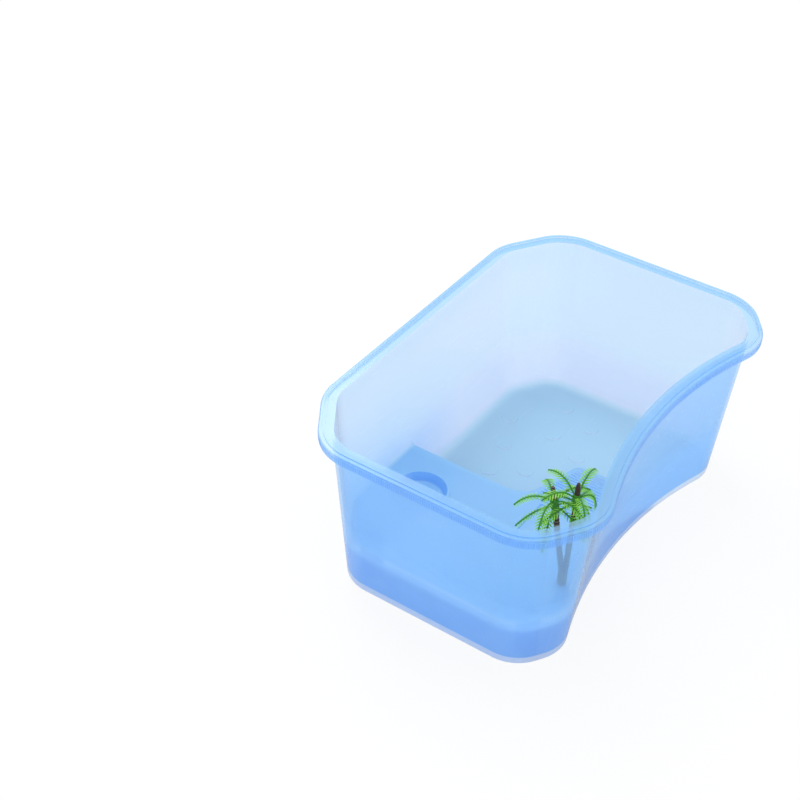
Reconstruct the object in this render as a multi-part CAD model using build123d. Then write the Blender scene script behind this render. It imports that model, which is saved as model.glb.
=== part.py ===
from build123d import *
import os
from math import atan2, cos, degrees, pi, radians, sin

# A turtle and reptile tub in one moulding, with a push-in plastic palm. Millimetres, +Z up.
# Plan positions are drawn from a zero near the middle of the rim. The finished pieces are then
# moved so that the tub stands with the middle of its base box on the origin.

# Rim outline seen from above: a rectangle with cut corners whose right long side is drawn in
length = 330.0
half_length = length / 2
left_side_x = -106.8
left_corner_cut_x = 32.0
left_corner_cut_y = 49.5
right_corner_x = 118.7
front_right_cut_y = 50.3
back_right_cut_y = 43.7
right_end_x = 86.5
waist_x = 94.4
corner_radius = 39.6

# Walls
height = 134.4
wall = 2.0
flange_width = 8.7
wall_draft = 10.9
base_corner_radius = 31.0
lip_height = 6.5
lip_thickness = 1.8
flange_thickness = 2.0
rim_round = 1.0
bead_inset = 3.2
bead_width = 1.4
bead_height = 0.8

# Floor, its round pads, and the ring feet under it
floor_height = 4.0
floor_fillet = 10.0
pad_radius = 6.5
pad_rise = 0.6
# Each pad's x, and its distance in from the back end
floor_pads = [(-63.8, 86.5), (-33.4, 48.7), (-24.8, 84.4), (-4.3, 59.9), (-50.6, 117.2)]
floor_pads += [(4.4, 97.9), (-20.0, 135.1), (-43.2, 150.3), (30.1, 63.9), (35.8, 86.7)]
foot_across = 16.0
foot_bore = 5.0
feet_left_x = -55.5
feet_right_x = 74.0
feet_from_back = 55.5
feet_from_front = 40.0

# Basking platform and the ramp down from it
platform_height = 38.0
platform_length = 135.5
platform_edge_y = platform_length - half_length
platform_fillet = 5.5
ramp_left_x = 12.0
ramp_run = 86.5
ramp_end_y = platform_edge_y + ramp_run
ramp_toe_height = 6.5
ramp_inner_radius = 18.0
ramp_toe_radius = 8.0
rib_pitch = 5.0
rib_width = 1.6
rib_rise = 0.7
rib_side_gap = 4.0
landing_left_x = 26.0
landing_right_x = 71.0
landing_length = 56.0
landing_front_y = platform_edge_y - landing_length
landing_depth = 0.9
landing_radius = 7.0

# Food dish sunk in the platform
dish_x = -52.6
dish_from_front = 96.2
dish_y = dish_from_front - half_length
dish_radius = 19.5
dish_depth = 6.5
dish_slope = 3.0
dish_fillet = 2.5
dish_ring_width = 2.0
dish_ring_rise = 0.8

# Socket for the palm
palm_x = 78.5
palm_from_front = 74.0
palm_y = palm_from_front - half_length
socket_bore_radius = 3.4
socket_depth = 15.0
socket_wall = 1.4
collar_radius = 5.9
collar_rise = 1.0

# Palm trunk: a fluted stub that branches into two ringed stems
stub_clearance = 0.06
stub_bottom_gap = 0.3
stub_top = 52.0
flute_count = 10
flute_radius = 0.5
stem_radius = 1.75
stem_flare = 0.4
stem_ring_pitch = 3.0
stem_base_spread = 1.45
view_turn = 24.7
left_stem_lean = 9.3
right_stem_lean = 1.2
left_stem_length = 53.5
right_stem_length = 58.5
peg_radius = 1.3
bud_radius = 1.9
bud_height = 9.0

# Leaf stars threaded on the pegs
hub_radius = 3.0
hub_height = 4.6
hub_clearance = 0.05
hub_gap = 0.3
hub_chamfer = 0.6
frond_thickness = 0.8
frond_half_width = 3.8
midrib_half_width = 0.7
leaflet_count = 10
leaflet_sweep = 2.2
leaflet_fill = 0.8
leaflet_thickness = 0.6

# Each star: on the left stem or not, its level, the first frond's turn, and its five fronds
# as reach, rise, droop and bend. Fronds that meet the wall bend down in front of it.
low_left = (25.0, -1.0, 15.0, 0.0)
high_left = (25.0, 3.0, -1.0, 0.0)
low_right = (25.0, -1.0, 9.0, 0.0)
high_right = (25.0, 6.0, -10.0, 0.0)
low_right_at_wall = (11.5, -0.8, 26.8, 1.0)
high_right_at_wall = (13.3, 4.8, 6.9, 0.85)
leaf_stars = {
    "left_lower_leaves": (True, 0, 39, [low_left] * 5),
    "left_upper_leaves": (True, 1, 36, [high_left] * 5),
    "right_lower_leaves": (False, 0, 0, [low_right_at_wall] + [low_right] * 4),
    "right_upper_leaves": (False, 1, -3, [high_right_at_wall] + [high_right] * 4),
}


def inset_at(z):
    """Distance from the rim's edge in to the wall's outer face at a height."""
    return flange_width + wall_draft * (height - z) / height


def radius_at(z):
    """Corner radius of the wall's outer face at a height."""
    rim_side = corner_radius - flange_width
    return rim_side + (base_corner_radius - rim_side) * (height - z) / height


def sharp_outline():
    half = half_length
    front_left = left_side_x + left_corner_cut_x
    cut_y = half - left_corner_cut_y
    corners = [
        (front_left, -half),
        (right_end_x, -half),
        (right_corner_x, front_right_cut_y - half),
        (right_corner_x, half - back_right_cut_y),
        (right_end_x, half),
        (front_left, half),
        (left_side_x, cut_y),
        (left_side_x, -cut_y),
    ]
    edges = []
    for i, start in enumerate(corners):
        end = corners[(i + 1) % len(corners)]
        if i == 2:
            edges.append(ThreePointArc(start, (waist_x, 0), end))
        else:
            edges.append(Line(start, end))
    return make_face(edges)


def outline(inset, radius):
    """The rim's outline moved in by a distance, with its corners rounded."""
    sharp = sharp_outline()
    if inset > 0:
        sharp = offset(sharp, amount=-inset, kind=Kind.INTERSECTION)
    return fillet(sharp.vertices(), radius)


def wall_prism(low, high, inward=0.0):
    """The tapering space between two heights, inside the wall's outer face by a distance."""
    sections = []
    for z in (low, high):
        face = outline(inset_at(z) + inward, radius_at(z) - inward)
        sections.append(Pos(0, 0, z) * face)
    return loft(sections, ruled=True)


def block(x_low, x_high, y_low, y_high, z_low, z_high):
    size = (x_high - x_low, y_high - y_low, z_high - z_low)
    middle = ((x_low + x_high) / 2, (y_low + y_high) / 2, (z_low + z_high) / 2)
    return Pos(*middle) * Box(*size)


def platform_plan():
    """Plan of the platform with the ramp beside it, running out past the walls."""
    platform = Pos(0, platform_edge_y - length / 2) * Rectangle(2 * length, length)
    ramp_length = ramp_end_y - platform_edge_y
    ramp_middle = (ramp_left_x + length / 2, platform_edge_y + ramp_length / 2)
    ramp = Pos(*ramp_middle) * Rectangle(length, ramp_length)
    plan = platform + ramp
    inner = plan.vertices().sort_by_distance((ramp_left_x, platform_edge_y))[0]
    plan = fillet(inner, ramp_inner_radius)
    toe = plan.vertices().sort_by_distance((ramp_left_x, ramp_end_y))[0]
    return fillet(toe, ramp_toe_radius)


ramp_angle = degrees(atan2(platform_height - ramp_toe_height, ramp_run))
ramp_slope_length = ramp_run / cos(radians(ramp_angle))


def ramp_frame(drop=0.0):
    """Frame at the top of the ramp: X across it, Y down it and Z out of it."""
    return Location((0, platform_edge_y, platform_height), (-ramp_angle, 0, 0)) * Pos(0, 0, -drop)


def above_ramp(drop=0.0):
    """All the space over the ramp's surface, or over a surface a distance under it."""
    reach = 4 * length
    return ramp_frame(drop) * Pos(0, 0, reach / 2) * Box(reach, reach, reach)


def inside_air():
    """The open space inside the tub, over floor, platform and ramp."""
    plan = platform_plan()
    island = extrude(plan, amount=2 * height)
    over_floor = wall_prism(floor_height, height, wall)
    over_floor = fillet(over_floor.faces().sort_by(Axis.Z)[0].edges(), floor_fillet)
    over_platform = wall_prism(platform_height, height, wall)
    over_platform = fillet(over_platform.faces().sort_by(Axis.Z)[0].edges(), platform_fillet)
    over_ramp = wall_prism(0, height, wall) & above_ramp()
    slope = over_ramp.faces().filter_by(GeomType.PLANE).sort_by(Axis.Z)[0]
    over_ramp = fillet(slope.edges(), platform_fillet)
    front = block(-length, length, -length, platform_edge_y, 0, 2 * height)
    back = block(-length, length, platform_edge_y, length, 0, 2 * height)
    return (over_floor - island) + (over_platform & front) + (over_ramp & island & back)


def underside_air():
    """The hollows open to the table: under the platform and ramp, and under the floor."""
    plan = platform_plan()
    inner_plan = offset(plan, amount=-wall)
    hollow = extrude(inner_plan, amount=platform_height - wall) & wall_prism(0, platform_height, wall)
    front = block(-length, length, -length, platform_edge_y, 0, height)
    hollow = (hollow & front) + (hollow - front - above_ramp(wall))
    floor_gap = wall_prism(0, floor_height - wall, wall) - extrude(plan, amount=height)
    return hollow + floor_gap


def rim():
    """Flange with a bead on top and a down-turned lip at its edge."""
    top = height - bead_height
    plate = extrude(Pos(0, 0, top - lip_height) * outline(0, corner_radius), amount=lip_height)
    plate = fillet(plate.faces().sort_by(Axis.Z)[-1].edges(), rim_round)
    under = outline(lip_thickness, corner_radius - lip_thickness)
    plate -= extrude(Pos(0, 0, top - lip_height) * under, amount=lip_height - flange_thickness)
    bead_outer = outline(bead_inset, corner_radius - bead_inset)
    bead_inner = outline(bead_inset + bead_width, corner_radius - bead_inset - bead_width)
    return plate + extrude(Pos(0, 0, top - bead_height) * (bead_outer - bead_inner), amount=2 * bead_height)


def feet():
    """Hexagonal ring feet. The front pair are long hollow legs under the platform."""
    rings = []
    hexagon = RegularPolygon(foot_across / 2, 6, major_radius=False)
    ring = hexagon - Circle(foot_bore)
    for x in (feet_left_x, feet_right_x):
        back = (half_length - feet_from_back, floor_height - wall)
        front = (feet_from_front - half_length, platform_height - wall)
        for y, top in (back, front):
            rings.append(extrude(Pos(x, y) * ring, amount=top + wall / 2))
    return rings


def pads():
    result = []
    for x, from_back in floor_pads:
        y = half_length - from_back
        pad = Pos(x, y, floor_height - wall / 2) * extrude(Circle(pad_radius), amount=wall / 2 + pad_rise)
        result.append(pad)
    return result


def ramp_ribs():
    """Step ribs across the ramp, kept inside the walls."""
    count = int((ramp_slope_length - rib_pitch) / rib_pitch)
    ribs = []
    inner = wall_prism(0, height, wall + platform_fillet)
    left = ramp_left_x + rib_side_gap
    width = length / 2
    section = Trapezoid(rib_width, 2 * rib_rise, 75)
    bar = extrude(Plane.YZ * section, amount=width)
    for i in range(count):
        along = (i + 1) * rib_pitch
        ribs.append((ramp_frame() * Pos(left, along, 0) * bar) & inner)
    return ribs


def dish():
    """Returns the dish's shell and ring, and the hollow that is cut in them."""
    at = Pos(dish_x, dish_y, platform_height)
    depth = dish_depth + wall
    shell = at * Pos(0, 0, -depth / 2) * Cone(dish_radius - dish_slope + wall, dish_radius + wall, depth)
    ring = at * extrude(Circle(dish_radius + dish_ring_width), amount=dish_ring_rise)
    full_depth = dish_depth + dish_ring_rise
    lower = dish_radius - dish_slope
    hollow = Cone(lower, dish_radius, full_depth)
    hollow = fillet(hollow.faces().sort_by(Axis.Z)[0].edges(), dish_fillet)
    hollow = at * Pos(0, 0, dish_ring_rise - full_depth / 2) * hollow
    return shell + ring, hollow


def socket():
    """Returns the palm socket's boss and the hole in it."""
    at = Pos(palm_x, palm_y, platform_height)
    tube_depth = socket_depth + wall
    tube = at * Pos(0, 0, -tube_depth / 2) * Cylinder(socket_bore_radius + socket_wall, tube_depth)
    collar = at * Cone(collar_radius, collar_radius - collar_rise, 2 * collar_rise)
    bore_height = socket_depth + 2 * collar_rise
    bore = at * Pos(0, 0, 2 * collar_rise - bore_height / 2) * Cylinder(socket_bore_radius, bore_height)
    return tube + collar, bore


def landing():
    """Shallow recess in the platform at the head of the ramp."""
    depth_y = platform_edge_y - landing_front_y + landing_radius
    middle = ((landing_left_x + landing_right_x) / 2, landing_front_y + depth_y / 2)
    plan = Pos(*middle) * RectangleRounded(landing_right_x - landing_left_x, depth_y, landing_radius)
    cut = extrude(Pos(0, 0, platform_height - landing_depth) * plan, amount=2 * landing_depth)
    return cut & block(-length, length, -length, platform_edge_y, 0, height)


def make_tub():
    air = inside_air()
    dish_solid, dish_hollow = dish()
    boss, bore = socket()
    body = wall_prism(0, height - bead_height)
    body -= underside_air()
    for ring in feet():
        body += ring
    body += rim()
    body -= air
    body += pads()
    body += ramp_ribs()
    body += dish_solid
    body += boss
    body -= landing()
    return body - dish_hollow - bore


def stem(lean, length_up, foot, ring_count):
    """One ringed stem, its peg and the bud on top, standing along its own leaning line."""
    outer = stem_radius + stem_flare
    points = [(0, -stem_ring_pitch), (stem_radius, -stem_ring_pitch)]
    step = length_up / ring_count
    for i in range(ring_count):
        points.append((stem_radius, i * step))
        points.append((outer, (i + 1) * step))
    points.append((stem_radius, length_up))
    peg_top = length_up + 2 * hub_height + 3 * hub_gap
    points.append((peg_radius, length_up))
    points.append((peg_radius, peg_top))
    points.append((bud_radius, peg_top))
    points.append((bud_radius * 0.95, peg_top + bud_height * 0.5))
    points.append((bud_radius * 0.55, peg_top + bud_height))
    points.append((0, peg_top + bud_height))
    profile = Plane.XZ * make_face(Polyline(points, close=True))
    return foot * Rot(0, lean, 0) * revolve(profile, Axis.Z)


def stem_feet():
    """Frames at the feet of the two stems, with X across the palm as it is seen."""
    frames = []
    for side in (-1, 1):
        frames.append(Pos(side * stem_base_spread, 0, stub_top))
    return frames


def palm_frame():
    return Location((palm_x, palm_y, 0), (0, 0, view_turn))


def make_trunk():
    left_foot, right_foot = stem_feet()
    stub_low = platform_height - socket_depth + stub_bottom_gap
    stub_radius = socket_bore_radius - stub_clearance
    stub_height = stub_top - stub_low
    trunk = Pos(0, 0, stub_low + stub_height / 2) * Cylinder(stub_radius, stub_height)
    collar_top = platform_height + collar_rise
    for i in range(flute_count):
        turn = Rot(0, 0, 360 / flute_count * i)
        flute = turn * Pos(stub_radius, 0, (collar_top + stub_top + 2) / 2)
        trunk -= flute * Cylinder(flute_radius, stub_top + 2 - collar_top)
    trunk += stem(-left_stem_lean, left_stem_length, left_foot, round(left_stem_length / stem_ring_pitch))
    trunk += stem(right_stem_lean, right_stem_length, right_foot, round(right_stem_length / stem_ring_pitch))
    return palm_frame() * trunk


def frond(reach, rise, droop, bend):
    """One frond from the hub outwards along X: a bent midrib with a row of leaflets each side.

    bend runs from 0, an even arch, to 1, straight out and then hanging down."""
    root = hub_radius - frond_thickness
    middle = reach * (0.5 + 0.5 * bend)
    rib_line = Bezier((root, 0, 0), (middle, 0, 2 * rise), (reach, 0, -droop))
    across = Vector(0, 1, 0)
    start = Plane(rib_line @ 0, x_dir=across, z_dir=rib_line % 0)
    pieces = [sweep(start * Rectangle(2 * midrib_half_width, frond_thickness), rib_line)]
    first = (hub_radius + 1.0) / rib_line.length
    for i in range(leaflet_count):
        share = (i + 0.5) / leaflet_count
        along = first + (0.97 - first) * share
        width = leaflet_fill * (1 - first) * rib_line.length / leaflet_count
        out = frond_half_width * sin(pi * (0.22 + 0.62 * share))
        tangent = rib_line % along
        at = Plane(rib_line @ along, x_dir=tangent, z_dir=tangent.cross(across))
        for side in (-1, 1):
            corners = [(-width / 2, 0), (leaflet_sweep, side * out), (width / 2, 0)]
            leaflet = make_face(Polyline(corners, close=True))
            pieces.append(extrude(at * leaflet, amount=leaflet_thickness / 2, both=True))
    return pieces


def leaf_star(lean, foot, level, stem_length, turn, fronds):
    """A hub with its fronds, threaded on a stem's peg at a level: 0 is lower and 1 is upper."""
    base = stem_length + hub_gap + level * (hub_height + hub_gap)
    hub = Pos(0, 0, hub_height / 2) * Cylinder(hub_radius, hub_height)
    hub = chamfer(hub.edges().filter_by(GeomType.CIRCLE), hub_chamfer)
    for i, shape in enumerate(fronds):
        at = Rot(0, 0, turn + 360 / len(fronds) * i) * Pos(0, 0, hub_height / 2)
        hub += [at * piece for piece in frond(*shape)]
    hub -= Pos(0, 0, hub_height / 2) * Cylinder(peg_radius + hub_clearance, 2 * hub_height)
    return palm_frame() * foot * Rot(0, lean, 0) * Pos(0, 0, base) * hub


left_foot, right_foot = stem_feet()
nodes = {"tub": make_tub(), "palm_trunk": make_trunk()}
for name, (on_left, level, turn, fronds) in leaf_stars.items():
    lean, foot, stem_length = right_stem_lean, right_foot, right_stem_length
    if on_left:
        lean, foot, stem_length = -left_stem_lean, left_foot, left_stem_length
    nodes[name] = leaf_star(lean, foot, level, stem_length, turn, fronds)

os.makedirs("parts", exist_ok=True)
base_box = nodes["tub"].bounding_box()
centre = base_box.center()
for name, shape in nodes.items():
    placed = Pos(-centre.X, -centre.Y, 0) * shape
    export_step(placed, f"parts/{name}.step")
    print(name, "solids", len(placed.solids()), "volume", round(placed.volume))
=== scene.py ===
# %% [markdown]
# # A turtle and reptile tub
#
# One moulding of clear blue plastic, with a platform, a ramp and a food dish inside, and a small
# plastic palm that is pushed into a socket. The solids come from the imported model. This script
# gives them their materials, makes the palm's leaves and the rim's fine flutes, and lights them.
# All lengths are metres.

# %%
from math import atan2, cos, pi, radians, sin

import bmesh
import bpy
from mathutils import Matrix, Vector


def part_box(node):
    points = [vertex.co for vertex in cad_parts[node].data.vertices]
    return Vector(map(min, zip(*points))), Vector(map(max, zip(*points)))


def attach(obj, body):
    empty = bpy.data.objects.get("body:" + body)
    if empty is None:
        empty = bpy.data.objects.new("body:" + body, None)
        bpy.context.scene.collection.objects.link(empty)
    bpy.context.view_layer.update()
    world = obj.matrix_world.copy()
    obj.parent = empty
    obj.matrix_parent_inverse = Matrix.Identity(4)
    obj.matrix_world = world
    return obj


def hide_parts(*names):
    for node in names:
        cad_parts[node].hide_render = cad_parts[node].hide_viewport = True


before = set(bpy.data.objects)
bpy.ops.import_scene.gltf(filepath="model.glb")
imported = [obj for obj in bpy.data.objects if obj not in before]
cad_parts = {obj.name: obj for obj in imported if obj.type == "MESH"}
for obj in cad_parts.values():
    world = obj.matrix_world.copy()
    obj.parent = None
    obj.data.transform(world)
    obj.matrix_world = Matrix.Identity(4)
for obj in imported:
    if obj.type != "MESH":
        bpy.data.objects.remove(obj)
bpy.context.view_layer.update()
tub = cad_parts["tub"]
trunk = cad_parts["palm_trunk"]
tub_low, tub_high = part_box("tub")
print("the tub is", [round(v * 1000, 1) for v in tub_high - tub_low], "mm")

# %% [markdown]
# ## Helpers
#
# Materials and Geometry Nodes are both trees of nodes with links. A few short functions keep the
# cells below readable. The first adds a node with its settings and input values. Others start an
# empty material, map a value to a new span, mix two colours, or give a group its named inputs.

# %%
def add(tree, kind, settings=None, **inputs):
    """Adds a node. Inputs take a value or a socket, and are named with _ for a space.

    An input that shares its name with others is given by its number, as in6.
    """
    node = tree.nodes.new(kind)
    for name, value in (settings or {}).items():
        setattr(node, name, value)
    for name, value in inputs.items():
        numbered = name.startswith("in") and name[2:].isdigit()
        key = int(name[2:]) if numbered else name.replace("_", " ")
        socket = node.inputs[key]
        if isinstance(value, bpy.types.NodeSocket):
            tree.links.new(value, socket)
        else:
            socket.default_value = value
    return node


def new_material(name):
    material = bpy.data.materials.new(name)
    material.use_nodes = True
    material.node_tree.nodes.clear()
    return material, material.node_tree


def ramp(tree, value, *stops):
    """A colour ramp from (position, colour) stops."""
    node = add(tree, "ShaderNodeValToRGB", Fac=value)
    elements = node.color_ramp.elements
    while len(elements) < len(stops):
        elements.new(1.0)
    for element, (position, colour) in zip(elements, stops):
        element.position = position
        element.color = colour
    return node.outputs["Color"]


def grey(level):
    return (level, level, level, 1.0)


def map_range(tree, value, from_low, from_high, to_low=0.0, to_high=1.0):
    """Maps a value from one span to another, clamped. Each end can be a socket."""
    return add(
        tree, "ShaderNodeMapRange", Value=value,
        From_Min=from_low, From_Max=from_high, To_Min=to_low, To_Max=to_high,
    ).outputs[0]


def blend(tree, factor, first, second, how="MIX"):
    """Mixes two colours, each a socket or a plain colour."""
    return add(
        tree, "ShaderNodeMix", {"data_type": "RGBA", "blend_type": how},
        Factor=factor, in6=first, in7=second,
    ).outputs[2]


def named_inputs(group, pairs):
    """Gives a Geometry Nodes group its inputs and its output. Returns sockets and identifiers."""
    identifiers = {}
    for name, kind in pairs:
        socket = group.interface.new_socket(name, in_out="INPUT", socket_type="NodeSocket" + kind)
        identifiers[name] = socket.identifier
    group.interface.new_socket("Geometry", in_out="OUTPUT", socket_type="NodeSocketGeometry")
    return group.nodes.new("NodeGroupInput").outputs, identifiers


def put_in_scene(name, data):
    obj = bpy.data.objects.new(name, data)
    bpy.context.scene.collection.objects.link(obj)
    return obj


def surface(material, shader):
    tree = material.node_tree
    tree.links.new(shader, add(tree, "ShaderNodeOutputMaterial").inputs["Surface"])


# %% [markdown]
# ## What every moulded surface shares
#
# Injection-moulded plastic is never quite even: the melt leaves clouds a centimetre across, the
# steel of the mould leaves a fine texture, and use leaves hair scratches. One shader group makes
# all three, and every material below takes its mottle value and its normal from it.

# %%
moulded = bpy.data.node_groups.new("moulded_surface", "ShaderNodeTree")
for name, value in (("Cloud Size", 0.012), ("Grain Size", 0.0005), ("Depth", 0.00002)):
    socket = moulded.interface.new_socket(name, in_out="INPUT", socket_type="NodeSocketFloat")
    socket.default_value = value
moulded.interface.new_socket("Mottle", in_out="OUTPUT", socket_type="NodeSocketFloat")
moulded.interface.new_socket("Scratches", in_out="OUTPUT", socket_type="NodeSocketFloat")
moulded.interface.new_socket("Normal", in_out="OUTPUT", socket_type="NodeSocketVector")
inputs = moulded.nodes.new("NodeGroupInput").outputs
place = add(moulded, "ShaderNodeTexCoord").outputs["Object"]


def per_metre(size):
    return add(moulded, "ShaderNodeMath", {"operation": "DIVIDE"}, in0=1.0, in1=size).outputs[0]


CLOUD_DETAIL, FINE_DETAIL = 3.0, 2.0
SCRATCHES_PER_METRE, SCRATCH_LENGTHS_PER_METRE = 900.0, 40.0
cloud = add(
    moulded, "ShaderNodeTexNoise",
    Vector=place, Scale=per_metre(inputs["Cloud Size"]), Detail=CLOUD_DETAIL,
)
grain = add(
    moulded, "ShaderNodeTexNoise",
    Vector=place, Scale=per_metre(inputs["Grain Size"]), Detail=FINE_DETAIL,
)
turned = add(moulded, "ShaderNodeMapping", Vector=place)
turned.inputs["Rotation"].default_value = (0.3, 0.5, 0.9)
turned.inputs["Scale"].default_value = (
    SCRATCHES_PER_METRE, SCRATCH_LENGTHS_PER_METRE, SCRATCHES_PER_METRE,
)
streaks = add(
    moulded, "ShaderNodeTexNoise", Vector=turned.outputs[0], Scale=1.0, Detail=FINE_DETAIL,
)
scratch = map_range(moulded, streaks.outputs[0], 0.64, 0.72)
height = add(
    moulded, "ShaderNodeMath", {"operation": "SUBTRACT"}, in0=grain.outputs[0], in1=scratch,
)
bump = add(
    moulded, "ShaderNodeBump", Strength=0.6, Distance=inputs["Depth"], Height=height.outputs[0],
)
results = moulded.nodes.new("NodeGroupOutput")
moulded.links.new(cloud.outputs[0], results.inputs["Mottle"])
moulded.links.new(scratch, results.inputs["Scratches"])
moulded.links.new(bump.outputs[0], results.inputs["Normal"])
print("shared surface group has", len(moulded.nodes), "nodes")


def moulded_surface(tree, cloud_size, grain_size, depth):
    """Places the shared group in a material and returns its outputs."""
    node = tree.nodes.new("ShaderNodeGroup")
    node.node_tree = moulded
    node.inputs["Cloud Size"].default_value = cloud_size
    node.inputs["Grain Size"].default_value = grain_size
    node.inputs["Depth"].default_value = depth
    return node.outputs


# %% [markdown]
# ## Clear blue polypropylene
#
# The tub's wall is cloudy rather than glassy: it lets some light straight through, so the palm's
# stems show as blue shapes behind it, and scatters the rest to both sides. Glass with refraction
# would be too clear. Here each wall is met once: faces seen from behind are skipped, and a face
# seen from the front mixes straight transparency with a reflecting and a back-lit scatter of
# the same blue. Seen along its surface the wall is thicker to the eye, so less light comes
# straight through.
#
# The colour goes by place alone. The rim is a little deeper. The lowest few millimetres catch
# light from the table and look pale, and so do the inner walls towards the rim and around the
# open end, which light from above reaches. Level faces are painted lighter than walls, as light
# from above falls on them. The skirt below the platform is nearly opaque, as if frosted.

# %%
TUB_HEIGHT, PLATFORM_TOP, BRIGHT_FROM = 0.134, 0.036, 0.12
FOOT_BAND_STARTS, FOOT_BAND_ENDS = 0.0052, 0.0064
SKIRT_STARTS, SKIRT_ENDS = 0.038, 0.060
PLATFORM_SIDE, OPEN_SIDE = -0.06, 0.04
FOOT_PALE = (0.80, 0.88, 0.98, 1.0)
INNER_PALE = (0.84, 0.88, 0.99, 1.0)
LIT_FROM_ABOVE_BLUE = (0.50, 0.84, 1.0, 1.0)
THROUGH_BLUE = (0.62, 0.83, 1.0, 1.0)

tub_material, tree = new_material("clear_blue_plastic")
shared = moulded_surface(tree, 0.03, 0.0006, 0.00003)
edge_on = add(tree, "ShaderNodeLayerWeight", Blend=0.35).outputs["Facing"]
position = add(tree, "ShaderNodeTexCoord").outputs["Object"]
place = add(tree, "ShaderNodeSeparateXYZ", Vector=position)
z = place.outputs["Z"]
normal = add(tree, "ShaderNodeNewGeometry").outputs["Normal"]

wall_blue = ramp(
    tree, map_range(tree, z, 0.0, TUB_HEIGHT),
    (0.0, (0.30, 0.60, 1.0, 1.0)),
    (0.45, (0.30, 0.60, 1.0, 1.0)),
    (0.93, (0.32, 0.61, 1.0, 1.0)),
    (1.0, (0.24, 0.51, 0.96, 1.0)),
)
cloudy = ramp(tree, shared["Mottle"], (0.3, (0.93, 0.96, 1.0, 1.0)), (0.7, grey(1.0)))
blue = blend(tree, 1.0, wall_blue, cloudy, "MULTIPLY")
foot_band = map_range(tree, z, FOOT_BAND_STARTS, FOOT_BAND_ENDS, 0.92, 0.0)
footed = blend(tree, foot_band, blue, FOOT_PALE)

# Inner walls: their normal points to the tub's middle, so the product is negative.
flat_place = add(
    tree, "ShaderNodeVectorMath", {"operation": "MULTIPLY"}, in0=position, in1=(1.0, 1.0, 0.0),
)
outward = add(
    tree, "ShaderNodeVectorMath", {"operation": "DOT_PRODUCT"},
    in0=flat_place.outputs[0], in1=normal,
)
inward = map_range(tree, outward.outputs["Value"], -0.02, -0.05)
pale_low = map_range(tree, place.outputs["Y"], PLATFORM_SIDE, OPEN_SIDE, 0.25, 0.82)
pale_by_height = map_range(tree, z, PLATFORM_TOP, BRIGHT_FROM, pale_low, 0.92)
pale_inside = add(
    tree, "ShaderNodeMath", {"operation": "MULTIPLY"}, in0=inward, in1=pale_by_height,
)
inner = blend(tree, pale_inside.outputs[0], footed, INNER_PALE)
# Painted light: faces that point up are mixed towards a lighter blue, as if lit from above.
facing_up = add(tree, "ShaderNodeSeparateXYZ", Vector=normal).outputs["Z"]
scatter_colour = blend(tree, map_range(tree, facing_up, 0.55, 0.95, 0.0, 0.70), inner, LIT_FROM_ABOVE_BLUE)

reflected = add(tree, "ShaderNodeBsdfDiffuse", Color=scatter_colour, Normal=shared["Normal"])
back_lit = add(tree, "ShaderNodeBsdfTranslucent", Color=scatter_colour, Normal=shared["Normal"])
scatter = add(
    tree, "ShaderNodeMixShader", Fac=0.5, in1=reflected.outputs[0], in2=back_lit.outputs[0],
)
straight = add(tree, "ShaderNodeBsdfTransparent", Color=THROUGH_BLUE)
clearness = map_range(tree, edge_on, 0.0, 1.0, 0.72, 0.08)
skirt = map_range(tree, z, SKIRT_STARTS, SKIRT_ENDS, 0.06, 1.0)
clear_share = add(tree, "ShaderNodeMath", {"operation": "MULTIPLY"}, in0=clearness, in1=skirt)
body = add(
    tree, "ShaderNodeMixShader", Fac=clear_share.outputs[0],
    in1=scatter.outputs[0], in2=straight.outputs[0],
)
dull = map_range(tree, shared["Scratches"], 0.0, 1.0, 0.16, 0.32)
gloss = add(tree, "ShaderNodeBsdfGlossy", Roughness=dull, Normal=shared["Normal"])
mirror = add(tree, "ShaderNodeFresnel", IOR=1.49, Normal=shared["Normal"]).outputs[0]
coated = add(tree, "ShaderNodeMixShader", Fac=mirror, in1=body.outputs[0], in2=gloss.outputs[0])
behind = add(tree, "ShaderNodeNewGeometry").outputs["Backfacing"]
skipped = add(tree, "ShaderNodeBsdfTransparent", Color=grey(1.0))
surface(tub_material, add(
    tree, "ShaderNodeMixShader", Fac=behind, in1=coated.outputs[0], in2=skipped.outputs[0],
).outputs[0])
tub.data.materials.clear()
tub.data.materials.append(tub_material)
print("tub material has", len(tree.nodes), "nodes")

# %% [markdown]
# ## Brown trunk
#
# The stub, the two ringed stems and the buds are one dark brown moulding. The edges of the rings
# get a painted tan highlight, and the buds are a darker red-brown. The painted highlight is placed
# with the pointiness of the mesh, which is high on the rims of the rings.

# %%
BUD_BASE = 0.1175
RING_HIGHLIGHT_TAN = (0.33, 0.20, 0.09, 1.0)
BUD_RED = (0.045, 0.014, 0.012, 1.0)

trunk_material, tree = new_material("brown_trunk_plastic")
shared = moulded_surface(tree, 0.004, 0.0003, 0.00005)
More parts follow.
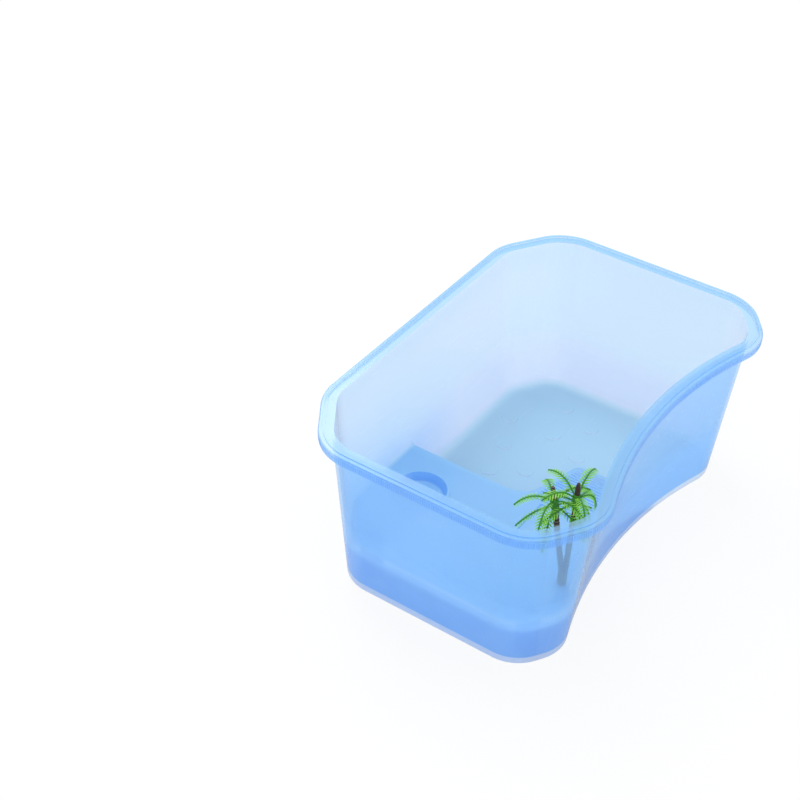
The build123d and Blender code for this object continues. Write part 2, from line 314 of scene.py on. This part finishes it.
# Painted highlight: the rims of the rings, found by pointiness, are lightened to tan.
painted_ring_highlight = ramp(
    tree, add(tree, "ShaderNodeNewGeometry").outputs["Pointiness"],
    (0.50, grey(0.0)), (0.60, grey(1.0)),
)
position = add(tree, "ShaderNodeTexCoord").outputs["Object"]
z = add(tree, "ShaderNodeSeparateXYZ", Vector=position).outputs["Z"]
is_bud = add(tree, "ShaderNodeMath", {"operation": "GREATER_THAN"}, in0=z, in1=BUD_BASE).outputs[0]
bark = ramp(
    tree, shared["Mottle"],
    (0.35, (0.022, 0.012, 0.008, 1.0)), (0.65, (0.050, 0.027, 0.015, 1.0)),
)
trunk_colour = blend(tree, is_bud, blend(tree, painted_ring_highlight, bark, RING_HIGHLIGHT_TAN), BUD_RED)
skin = add(
    tree, "ShaderNodeBsdfPrincipled", Base_Color=trunk_colour,
    Roughness=map_range(tree, shared["Mottle"], 0.0, 1.0, 0.30, 0.55), Normal=shared["Normal"],
)
surface(trunk_material, skin.outputs[0])
trunk.data.materials.clear()
trunk.data.materials.append(trunk_material)
print("trunk material has", len(tree.nodes), "nodes")

# %% [markdown]
# ## Green leaf plastic
#
# The leaves are soft, bright green and a little translucent. Each leaflet carries an attribute
# named tip, which is 0 at the midrib and 1 at its point: the midrib is darker and the points are
# yellower, as thin plastic is when light comes through it.

# %%
leaf_material, tree = new_material("green_leaf_plastic")
shared = moulded_surface(tree, 0.006, 0.0003, 0.00003)
tip = add(tree, "ShaderNodeAttribute", {"attribute_name": "tip"}).outputs["Fac"]
green = ramp(
    tree, tip,
    (0.0, (0.055, 0.30, 0.020, 1.0)),
    (0.25, (0.130, 0.52, 0.030, 1.0)),
    (1.0, (0.420, 0.90, 0.100, 1.0)),
)
cloudy = ramp(tree, shared["Mottle"], (0.3, (0.80, 0.88, 0.80, 1.0)), (0.7, grey(1.0)))
leaf_green = blend(tree, 1.0, green, cloudy, "MULTIPLY")
skin = add(
    tree, "ShaderNodeBsdfPrincipled",
    Base_Color=leaf_green, Roughness=0.38, Normal=shared["Normal"],
)
through = add(tree, "ShaderNodeBsdfTranslucent", Color=leaf_green)
leaf_shader = add(
    tree, "ShaderNodeMixShader", Fac=0.20, in1=skin.outputs[0], in2=through.outputs[0],
)
surface(leaf_material, leaf_shader.outputs[0])
print("leaf material has", len(tree.nodes), "nodes")

# %% [markdown]
# ## One leaflet
#
# A leaflet is a blade 1.5 mm wide and about 5 mm long that leaves the midrib sideways, sweeps
# towards the frond's tip and bends down a little. It is lofted by hand from a few four-sided
# rings, closed at both ends, because it is repeated several hundred times and has to stay light.
# A left and a right one are made, so that neither has to be mirrored inside out later.

# %%
def leaflet_object(name, side, length=0.0054, width=0.00150, thickness=0.0006):
    mesh = bpy.data.meshes.new(name)
    build = bmesh.new()
    rings = []
    full_out, full_down = length * 0.86, length * 0.16
    for share, swell in ((0.0, 0.75), (0.3, 1.0), (0.68, 0.72)):
        forward = length * (0.38 * share + 0.22 * share ** 2)
        out = full_out * share * side
        down = -full_down * share ** 2
        middle = Vector((forward, out, down))
        half = width * swell / 2
        lift = thickness * swell / 2
        corners = [(-half, 0), (0, lift), (half, 0), (0, -lift)]
        rings.append([build.verts.new(middle + Vector((x, 0, up))) for x, up in corners])
    point = build.verts.new((length * 0.60, full_out * side, -full_down))
    for low, high in zip(rings, rings[1:]):
        for i in range(4):
            j = (i + 1) % 4
            build.faces.new((low[i], low[j], high[j], high[i]))
    for i in range(4):
        build.faces.new((rings[-1][i], rings[-1][(i + 1) % 4], point))
    build.faces.new(reversed(rings[0]))
    bmesh.ops.recalc_face_normals(build, faces=build.faces)
    build.to_mesh(mesh)
    build.free()
    tip_values = mesh.attributes.new("tip", "FLOAT", "POINT")
    for vertex, value in zip(mesh.vertices, tip_values.data):
        value.value = 0.25 + 0.75 * min(1.0, abs(vertex.co.y) / full_out)
    return put_in_scene(name, mesh)


leaflets = [leaflet_object("leaflet_left", 1), leaflet_object("leaflet_right", -1)]
print("a leaflet has", len(leaflets[0].data.polygons), "faces")

# %% [markdown]
# ## One frond
#
# A frond is a midrib along a bent line with the two rows of leaflets on it. This repeats, so it
# is Geometry Nodes: a quadratic Bezier carries the midrib, and the same line, cut off near the
# hub and sampled evenly, carries the leaflets, turned along the line and sized by a curve that
# makes them short at both ends.

# %%
frond_group = bpy.data.node_groups.new("frond", "GeometryNodeTree")
given, frond_sockets = named_inputs(frond_group, (
    ("Start", "Vector"), ("Middle", "Vector"), ("End", "Vector"),
    ("Leaflets", "Int"), ("Rib Radius", "Float"),
    ("Left Leaflet", "Object"), ("Right Leaflet", "Object"), ("Material", "Material"),
))
line = add(
    frond_group, "GeometryNodeCurveQuadraticBezier",
    Resolution=20, Start=given["Start"], Middle=given["Middle"], End=given["End"],
).outputs[0]
share = add(frond_group, "GeometryNodeSplineParameter").outputs["Factor"]


def shaped(points):
    """A value read off a curve through (position, height) points by the place on the frond."""
    node = add(frond_group, "ShaderNodeFloatCurve", Value=share)
    curve = node.mapping.curves[0]
    while len(curve.points) < len(points):
        curve.points.new(0.5, 0.5)
    for point, (x, y) in zip(curve.points, points):
        point.location = (x, y)
    node.mapping.update()
    return node.outputs[0]


rib_taper = shaped([(0, 1), (0.5, 0.8), (1, 0.35)])
thin = add(frond_group, "GeometryNodeSetCurveRadius", Curve=line, Radius=rib_taper)
profile = add(
    frond_group, "GeometryNodeCurvePrimitiveCircle", {"mode": "RADIUS"},
    Resolution=6, Radius=given["Rib Radius"],
)
rib = add(
    frond_group, "GeometryNodeCurveToMesh",
    Curve=thin.outputs[0], Profile_Curve=profile.outputs[0], Fill_Caps=True,
)
FIRST_LEAFLET, LAST_LEAFLET = 0.07, 0.985
outer = add(
    frond_group, "GeometryNodeTrimCurve", {"mode": "FACTOR"},
    Curve=line, in2=FIRST_LEAFLET, in3=LAST_LEAFLET,
)
spots = add(
    frond_group, "GeometryNodeResampleCurve", Curve=outer.outputs[0], Count=given["Leaflets"],
)
along = add(frond_group, "GeometryNodeInputTangent").outputs[0]
turn = add(
    frond_group, "FunctionNodeAlignRotationToVector", {"axis": "X", "pivot_axis": "Y"},
    Vector=along,
).outputs[0]
size = shaped([(0, 0.45), (0.3, 0.9), (0.55, 1.0), (0.85, 0.8), (1, 0.42)])
rows = add(frond_group, "GeometryNodeJoinGeometry")
frond_group.links.new(rib.outputs[0], rows.inputs[0])
for name in ("Left Leaflet", "Right Leaflet"):
    blade = add(frond_group, "GeometryNodeObjectInfo", Object=given[name]).outputs["Geometry"]
    row = add(
        frond_group, "GeometryNodeInstanceOnPoints",
        Points=spots.outputs[0], Instance=blade, Rotation=turn, Scale=size,
    )
    frond_group.links.new(row.outputs[0], rows.inputs[0])
real = add(frond_group, "GeometryNodeRealizeInstances", Geometry=rows.outputs[0])
finished = add(
    frond_group, "GeometryNodeSetMaterial", Geometry=real.outputs[0], Material=given["Material"],
)
frond_out = frond_group.nodes.new("NodeGroupOutput")
frond_group.links.new(finished.outputs[0], frond_out.inputs[0])
print("frond group has", len(frond_group.nodes), "nodes")


def evaluated_mesh(group, identifiers, values):
    """Runs a Geometry Nodes group with named inputs and returns its result as a plain mesh."""
    holder = put_in_scene("holder", bpy.data.meshes.new("holder"))
    modifier = holder.modifiers.new("shape", "NODES")
    modifier.node_group = group
    for name, value in values.items():
        modifier[identifiers[name]] = value
    holder.update_tag()
    bpy.context.view_layer.update()
    graph = bpy.context.evaluated_depsgraph_get()
    mesh = bpy.data.meshes.new_from_object(holder.evaluated_get(graph), depsgraph=graph)
    holder.modifiers.remove(modifier)
    bpy.data.objects.remove(holder)
    return mesh


# %% [markdown]
# ## Leaf stars
#
# Each star is a small collar with five fronds, and two stars are threaded on the peg of each
# stem. The real fronds are one soft moulding: the lower stars hang, the upper ones arch up, and
# a frond that points at the tub's wall is bent down in front of it. The stars stand and turn as
# the solids do. Their fronds at the wall have the solids' bend, and the free ones reach about
# 2 mm further, so that some leaflets of the lower stars run into the wall.

# %%
HUB_RADIUS, HUB_HEIGHT, HUB_GAP, BORE = 0.003, 0.0046, 0.0003, 0.00135
FROND_ROOT, RIB_RADIUS, LEAFLETS_PER_SIDE = 0.0022, 0.0006, 13
STUB_TOP, STEM_SPREAD = 0.052, 0.00145
LEFT_STEM, RIGHT_STEM = 0.0535, 0.0585
LEFT_LEAN, RIGHT_LEAN = radians(-9.3), radians(1.2)
PALM_TURN = radians(24.7)
# The tub was measured before it was centred on its base box: this is how far it moved.
plan_shift = -0.1068 - tub_low.x
palm_at = (
    Matrix.Translation((0.0785 - plan_shift, -0.091, 0.0)) @ Matrix.Rotation(PALM_TURN, 4, "Z")
)


def collar_into(build):
    """The star's collar: a lathed ring with a waist, open for the peg."""
    profile = [
        (BORE, 0.0), (HUB_RADIUS - 0.0006, 0.0), (HUB_RADIUS, 0.0006),
        (HUB_RADIUS - 0.0003, 0.0018), (HUB_RADIUS, 0.0026), (HUB_RADIUS - 0.0003, 0.0034),
        (HUB_RADIUS - 0.0004, 0.0042), (HUB_RADIUS - 0.0008, HUB_HEIGHT), (BORE, HUB_HEIGHT),
    ]
    steps = 28
    rings = []
    for i in range(steps):
        angle = 2 * pi * i / steps
        rings.append([build.verts.new((r * cos(angle), r * sin(angle), h)) for r, h in profile])
    for i in range(steps):
        here, there = rings[i], rings[(i + 1) % steps]
        for j in range(len(profile)):
            k = (j + 1) % len(profile)
            build.faces.new((here[j], there[j], there[k], here[k]))
    bmesh.ops.recalc_face_normals(build, faces=build.faces)


def leaf_star(name, node, left, level, turn_deg, fronds):
    """Makes one star in place of a leaf solid. Each frond is its reach, rise, droop and bend."""
    foot = Matrix.Translation((STEM_SPREAD * (-1 if left else 1), 0, STUB_TOP))
    lean = Matrix.Rotation(LEFT_LEAN if left else RIGHT_LEAN, 4, "Y")
    base = (LEFT_STEM if left else RIGHT_STEM) + HUB_GAP + level * (HUB_HEIGHT + HUB_GAP)
    star_at = palm_at @ foot @ lean @ Matrix.Translation((0, 0, base))
    build = bmesh.new()
    collar_into(build)
    for i, (reach, rise, droop, bend) in enumerate(fronds):
        middle = reach * (0.5 + 0.5 * bend)
        mesh = evaluated_mesh(frond_group, frond_sockets, {
            "Start": (FROND_ROOT, 0.0, 0.0),
            "Middle": (middle, 0.0, 2 * rise),
            "End": (reach, 0.0, -droop),
            "Leaflets": LEAFLETS_PER_SIDE, "Rib Radius": RIB_RADIUS,
            "Left Leaflet": leaflets[0], "Right Leaflet": leaflets[1], "Material": leaf_material,
        })
        angle = radians(turn_deg) + 2 * pi / len(fronds) * i
        mesh.transform(Matrix.Rotation(angle, 4, "Z") @ Matrix.Translation((0, 0, HUB_HEIGHT / 2)))
        build.from_mesh(mesh)
        bpy.data.meshes.remove(mesh)
    bmesh.ops.transform(build, matrix=star_at, verts=build.verts)
    mesh = bpy.data.meshes.new(name)
    build.to_mesh(mesh)
    build.free()
    for polygon in mesh.polygons:
        polygon.material_index = 0
    mesh.materials.clear()
    mesh.materials.append(leaf_material)
    star = put_in_scene(name, mesh)
    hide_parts(node)
    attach(star, "palm")
    print(name, "has", len(mesh.polygons), "faces")


low_left = (0.0275, -0.001, 0.0165, 0.0)
high_left = (0.0270, 0.0045, 0.0040, 0.0)
low_right = (0.027, -0.001, 0.0100, 0.0)
high_right = (0.0265, 0.0068, -0.0050, 0.0)
low_right_at_wall = (0.0115, -0.0008, 0.0268, 1.0)
high_right_at_wall = (0.0133, 0.0048, 0.0069, 0.85)
leaf_star("left_lower_star", "left_lower_leaves", True, 0, 39, [low_left] * 5)
leaf_star("left_upper_star", "left_upper_leaves", True, 1, 36, [high_left] * 5)
leaf_star(
    "right_lower_star", "right_lower_leaves", False, 0, 0, [low_right_at_wall] + [low_right] * 4,
)
leaf_star(
    "right_upper_star", "right_upper_leaves", False, 1, -3, [high_right_at_wall] + [high_right] * 4,
)
for obj in leaflets:
    bpy.data.objects.remove(obj)

# %% [markdown]
# ## Flutes around the rim
#
# The down-turned lip has a band of fine upright flutes all the way round. Their line is read
# from the tub itself: the points where the lip's upright face meets the rounding of the rim, put
# in order around the tub. Geometry Nodes sets one small rounded rib every 1.7 mm along it.

# %%
FLUTE_PITCH, FLUTE_WIDTH, FLUTE_RISE = 0.0017, 0.0010, 0.00025
band_low, band_high = tub_high.z - 0.0063, tub_high.z - 0.0020
round_starts = tub_high.z - 0.0018
around = {
    (round(vertex.co.x, 6), round(vertex.co.y, 6))
    for vertex in tub.data.vertices if abs(vertex.co.z - round_starts) < 2e-5
}
rim_line = sorted(around, key=lambda point: atan2(point[1], point[0]), reverse=True)
print("rim line has", len(rim_line), "points")
rim_curve = bpy.data.curves.new("rim_line", "CURVE")
rim_curve.dimensions = "3D"
spline = rim_curve.splines.new("POLY")
spline.points.add(len(rim_line) - 1)
for point, (x, y) in zip(spline.points, rim_line):
    point.co = (x, y, band_low, 1.0)
spline.use_cyclic_u = True

flute_mesh = bpy.data.meshes.new("flute")
build = bmesh.new()
steps = 5
arc = [
    (-FLUTE_WIDTH / 2 * cos(pi * i / steps), FLUTE_RISE * sin(pi * i / steps))
    for i in range(steps + 1)
]
rings = [
    [build.verts.new((x, rise, level)) for x, rise in arc]
    for level in (0.0, band_high - band_low)
]
for i in range(steps):
    build.faces.new((rings[0][i], rings[0][i + 1], rings[1][i + 1], rings[1][i]))
build.faces.new((rings[0][0], rings[1][0], rings[1][-1], rings[0][-1]))
build.faces.new(rings[0])
build.faces.new(rings[1])
bmesh.ops.recalc_face_normals(build, faces=build.faces)
build.to_mesh(flute_mesh)
build.free()
flute = put_in_scene("flute", flute_mesh)

flute_group = bpy.data.node_groups.new("flutes", "GeometryNodeTree")
given, flute_sockets = named_inputs(flute_group, (
    ("Rim Line", "Object"), ("Flute", "Object"), ("Pitch", "Float"), ("Material", "Material"),
))
rim_read = add(flute_group, "GeometryNodeObjectInfo", Object=given["Rim Line"]).outputs["Geometry"]
spots = add(
    flute_group, "GeometryNodeResampleCurve", {"mode": "LENGTH"},
    Curve=rim_read, Length=given["Pitch"],
)
along = add(flute_group, "GeometryNodeInputTangent").outputs[0]
turn = add(
    flute_group, "FunctionNodeAlignRotationToVector", {"axis": "X", "pivot_axis": "Z"},
    Vector=along,
).outputs[0]
blade = add(flute_group, "GeometryNodeObjectInfo", Object=given["Flute"]).outputs["Geometry"]
row = add(
    flute_group, "GeometryNodeInstanceOnPoints",
    Points=spots.outputs[0], Instance=blade, Rotation=turn,
)
real = add(flute_group, "GeometryNodeRealizeInstances", Geometry=row.outputs[0])
done = add(
    flute_group, "GeometryNodeSetMaterial", Geometry=real.outputs[0], Material=given["Material"],
)
flute_out = flute_group.nodes.new("NodeGroupOutput")
flute_group.links.new(done.outputs[0], flute_out.inputs[0])

rim_guide = put_in_scene("rim_line", rim_curve)
flutes_mesh = evaluated_mesh(flute_group, flute_sockets, {
    "Rim Line": rim_guide, "Flute": flute, "Pitch": FLUTE_PITCH, "Material": tub_material,
})
flutes_mesh.name = "rim_flutes"
rim_flutes = put_in_scene("rim_flutes", flutes_mesh)
bpy.data.objects.remove(flute)
bpy.data.objects.remove(rim_guide)
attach(rim_flutes, "tub")
print("flutes:", len(flutes_mesh.polygons), "faces")

# %% [markdown]
# ## Floor and light
#
# The tub stands on a white sheet in soft light from all sides, so that the plastic glows and the
# background is plain. The sheet is mostly plain white to the camera, so that only a faint shadow
# shows on it, and the room is full white to the camera and a little dimmer as a light. A large
# soft lamp behind the left and a smaller one in front give the rim and walls their highlights.

# %%
floor_mesh = bpy.data.meshes.new("studio_floor")
floor_mesh.from_pydata([(-6, -6, 0), (6, -6, 0), (6, 6, 0), (-6, 6, 0)], [], [(0, 1, 2, 3)])
floor = put_in_scene("studio_floor", floor_mesh)
floor.location.z = -0.0002
floor_material, tree = new_material("white_sheet")
matt = add(tree, "ShaderNodeBsdfDiffuse", Color=grey(0.9))
glow = add(tree, "ShaderNodeEmission", Color=grey(1.0), Strength=1.0)
seen = add(tree, "ShaderNodeLightPath").outputs["Is Camera Ray"]
SHARE_OF_PLAIN_WHITE = 0.85
share_seen = add(
    tree, "ShaderNodeMath", {"operation": "MULTIPLY"}, in0=seen, in1=SHARE_OF_PLAIN_WHITE,
).outputs[0]
surface(floor_material, add(
    tree, "ShaderNodeMixShader", Fac=share_seen, in1=matt.outputs[0], in2=glow.outputs[0],
).outputs[0])
floor_mesh.materials.append(floor_material)

world = bpy.data.worlds.new("soft_room")
bpy.context.scene.world = world
world.use_nodes = True
tree = world.node_tree
background = tree.nodes["Background"].inputs
background["Color"].default_value = grey(1.0)
seen = add(tree, "ShaderNodeLightPath").outputs["Is Camera Ray"]
tree.links.new(map_range(tree, seen, 0.0, 1.0, 0.92, 1.0), background["Strength"])


def soft_lamp(name, place, target, size, power):
    light = bpy.data.lights.new(name, "AREA")
    light.shape = "SQUARE"
    light.size = size
    light.energy = power
    lamp = put_in_scene(name, light)
    lamp.location = place
    lamp.rotation_euler = (Vector(target) - Vector(place)).to_track_quat("-Z", "Y").to_euler()


soft_lamp("key_lamp", (-0.9, 0.5, 1.3), (0, 0, 0.05), 0.9, 9.0)
soft_lamp("front_lamp", (0.5, -1.3, 0.9), (0, 0, 0.07), 0.6, 3.0)

# %% [markdown]
# ## Camera
#
# The camera looks down over the tub's front right corner, turned a little about its own axis,
# with a long lens, as a catalogue picture is taken.

# %%
azimuth, elevation, roll = radians(33.6), radians(38.5), radians(1.8)
back = Vector((sin(azimuth) * cos(elevation), -cos(azimuth) * cos(elevation), sin(elevation)))
level_right = (-back).cross(Vector((0, 0, 1))).normalized()
level_up = level_right.cross(-back)
right = level_right * cos(roll) + level_up * sin(roll)
up = level_up * cos(roll) - level_right * sin(roll)
lens = bpy.data.cameras.new("camera")
lens.lens = 69.13
lens.sensor_width = 36.0
camera = put_in_scene("camera", lens)
turn_matrix = Matrix((right, up, back)).transposed().to_4x4()
camera.matrix_world = Matrix.Translation((0.3964 - plan_shift, -0.7759, 0.7873)) @ turn_matrix
bpy.context.scene.camera = camera
bpy.context.scene.view_settings.view_transform = "Standard"
